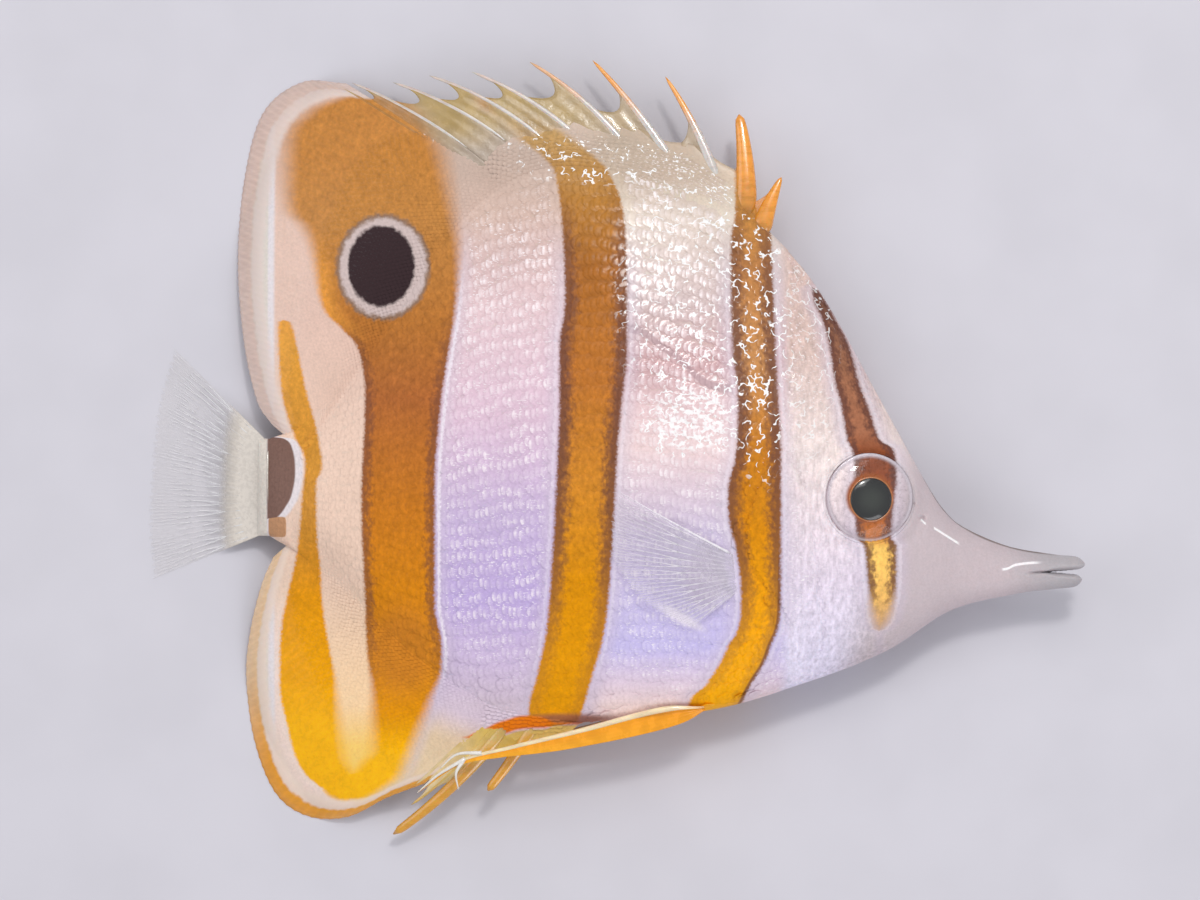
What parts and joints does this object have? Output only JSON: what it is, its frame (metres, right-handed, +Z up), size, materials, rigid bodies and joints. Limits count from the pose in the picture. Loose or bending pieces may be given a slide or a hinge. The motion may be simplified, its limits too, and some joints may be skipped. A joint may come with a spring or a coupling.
{
  "type": "copperband butterflyfish",
  "caption": "Young copperband butterflyfish lying on its left side, long snout, tall disc body, raised spiny back fin, translucent soft fins, life size.",
  "frame": {"origin": "on the level that the fish lies on, under the middle of its outline", "axes": "+X towards the snout's tip, +Y towards the back and its fin, +Z up, out of the fish's right side"},
  "size_m": [0.0568, 0.0472, 0.0086],
  "materials": {
    "skin": "wet scaled skin, silver with copper bands",
    "lips": "smooth pale skin",
    "eyes": "polished, silver iris with a copper ring",
    "spiny_fins": "horny spines with orange tips and thin webs",
    "soft_fins": "thin skin over fine rays, copper band and pale margin",
    "clear_fins": "clear thin skin over fine white rays",
    "pelvic_fins": "orange skin with a pale yellow front edge"
  },
  "bodies": {
    "root": {"trunk": "skin", "tail_stalk": "skin", "head": "skin", "gill_cover_right": "skin", "gill_cover_left": "skin", "snout": "skin", "upper_jaw": "lips", "lower_jaw": "lips", "eye_right": "eyes", "eye_left": "eyes", "dorsal_fin_spines": "spiny_fins", "dorsal_fin_soft": "soft_fins", "anal_fin_spines": "spiny_fins", "anal_fin_soft": "soft_fins", "tail_fin": "clear_fins", "pectoral_fin_right": "clear_fins", "pectoral_fin_left": "clear_fins", "pelvic_fin_right": "pelvic_fins", "pelvic_fin_left": "pelvic_fins"}
  },
  "joints": []
}
